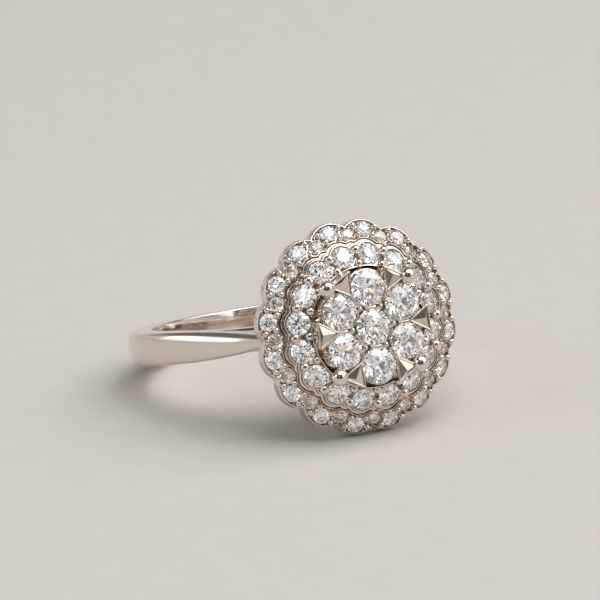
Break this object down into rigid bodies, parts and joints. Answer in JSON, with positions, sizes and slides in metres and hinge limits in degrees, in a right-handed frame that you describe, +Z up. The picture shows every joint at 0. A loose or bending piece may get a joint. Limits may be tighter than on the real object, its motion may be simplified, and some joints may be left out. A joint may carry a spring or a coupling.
{
  "type": "double halo ring",
  "caption": "Finger ring with a cluster of round stones inside two scalloped halos of smaller stones, on a plain polished band.",
  "frame": {"origin": "middle of the ring's box, on the surface that the ring lies on", "axes": "+X from the back of the band towards the head, +Y across the finger hole, +Z up, away from the surface"},
  "size_m": [0.026, 0.0206, 0.0133],
  "materials": {
    "white_gold": "polished white gold",
    "diamond": "clear, brilliant cut"
  },
  "bodies": {
    "root": {"ring_setting": "white_gold", "outer_halo_stones": "diamond", "cluster_stone_1": "diamond", "cluster_stone_2": "diamond", "cluster_stone_3": "diamond", "cluster_stone_4": "diamond", "cluster_stone_5": "diamond", "cluster_stone_6": "diamond", "cluster_stone_7": "diamond", "inner_stone_1": "diamond", "inner_stone_2": "diamond", "inner_stone_3": "diamond", "inner_stone_4": "diamond", "inner_stone_5": "diamond", "inner_stone_6": "diamond", "inner_stone_7": "diamond", "inner_stone_8": "diamond", "inner_stone_9": "diamond", "inner_stone_10": "diamond", "inner_stone_11": "diamond", "inner_stone_12": "diamond", "inner_stone_13": "diamond", "inner_stone_14": "diamond", "inner_stone_15": "diamond", "inner_stone_16": "diamond"}
  },
  "joints": []
}
